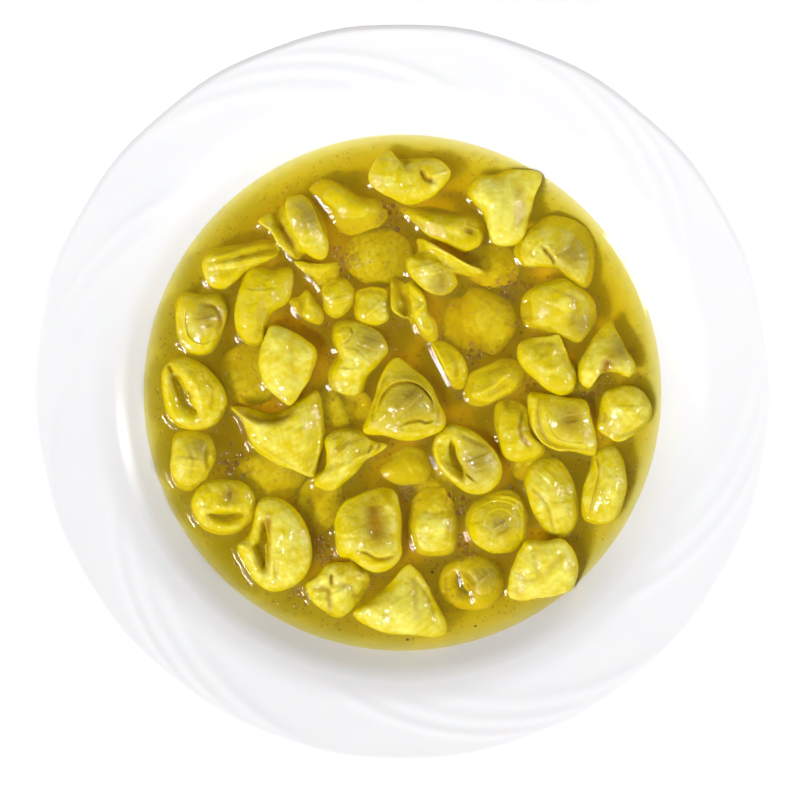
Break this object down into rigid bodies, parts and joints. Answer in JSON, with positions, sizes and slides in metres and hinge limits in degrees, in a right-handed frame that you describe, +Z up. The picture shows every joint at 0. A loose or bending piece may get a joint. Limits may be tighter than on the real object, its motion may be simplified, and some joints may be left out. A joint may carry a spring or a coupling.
{
  "type": "tortellini in broth in a soup plate",
  "caption": "Wide-rimmed white soup plate filled with clear yellow broth, in which ring-shaped stuffed pasta floats.",
  "frame": {"origin": "centre of the plate's foot ring, in the plane that the plate rests on", "axes": "+Z up, out of the filled plate; +Y towards the far side of the plate and +X to the right, as the one who eats from it sees it"},
  "size_m": [0.23, 0.23, 0.037],
  "materials": {
    "plate_glass": "glossy opal white",
    "broth": "clear liquid",
    "pasta": "wet, soft"
  },
  "bodies": {
    "root": {"plate": "plate_glass", "broth": "broth", "tortellino_01": "pasta", "tortellino_02": "pasta", "tortellino_03": "pasta", "tortellino_04": "pasta", "tortellino_05": "pasta", "tortellino_06": "pasta", "tortellino_07": "pasta", "tortellino_08": "pasta", "tortellino_09": "pasta", "tortellino_10": "pasta", "tortellino_11": "pasta", "tortellino_12": "pasta", "tortellino_13": "pasta", "tortellino_14": "pasta", "tortellino_15": "pasta", "tortellino_16": "pasta", "tortellino_17": "pasta", "tortellino_18": "pasta", "tortellino_19": "pasta", "tortellino_20": "pasta", "tortellino_21": "pasta", "tortellino_22": "pasta", "tortellino_23": "pasta", "tortellino_24": "pasta", "tortellino_25": "pasta", "tortellino_26": "pasta", "tortellino_27": "pasta", "tortellino_28": "pasta", "tortellino_29": "pasta", "tortellino_30": "pasta", "tortellino_31": "pasta", "tortellino_32": "pasta", "tortellino_33": "pasta", "tortellino_34": "pasta", "tortellino_35": "pasta", "tortellino_36": "pasta", "tortellino_37": "pasta", "tortellino_38": "pasta", "tortellino_39": "pasta", "tortellino_40": "pasta", "tortellino_41": "pasta", "tortellino_42": "pasta"}
  },
  "joints": []
}
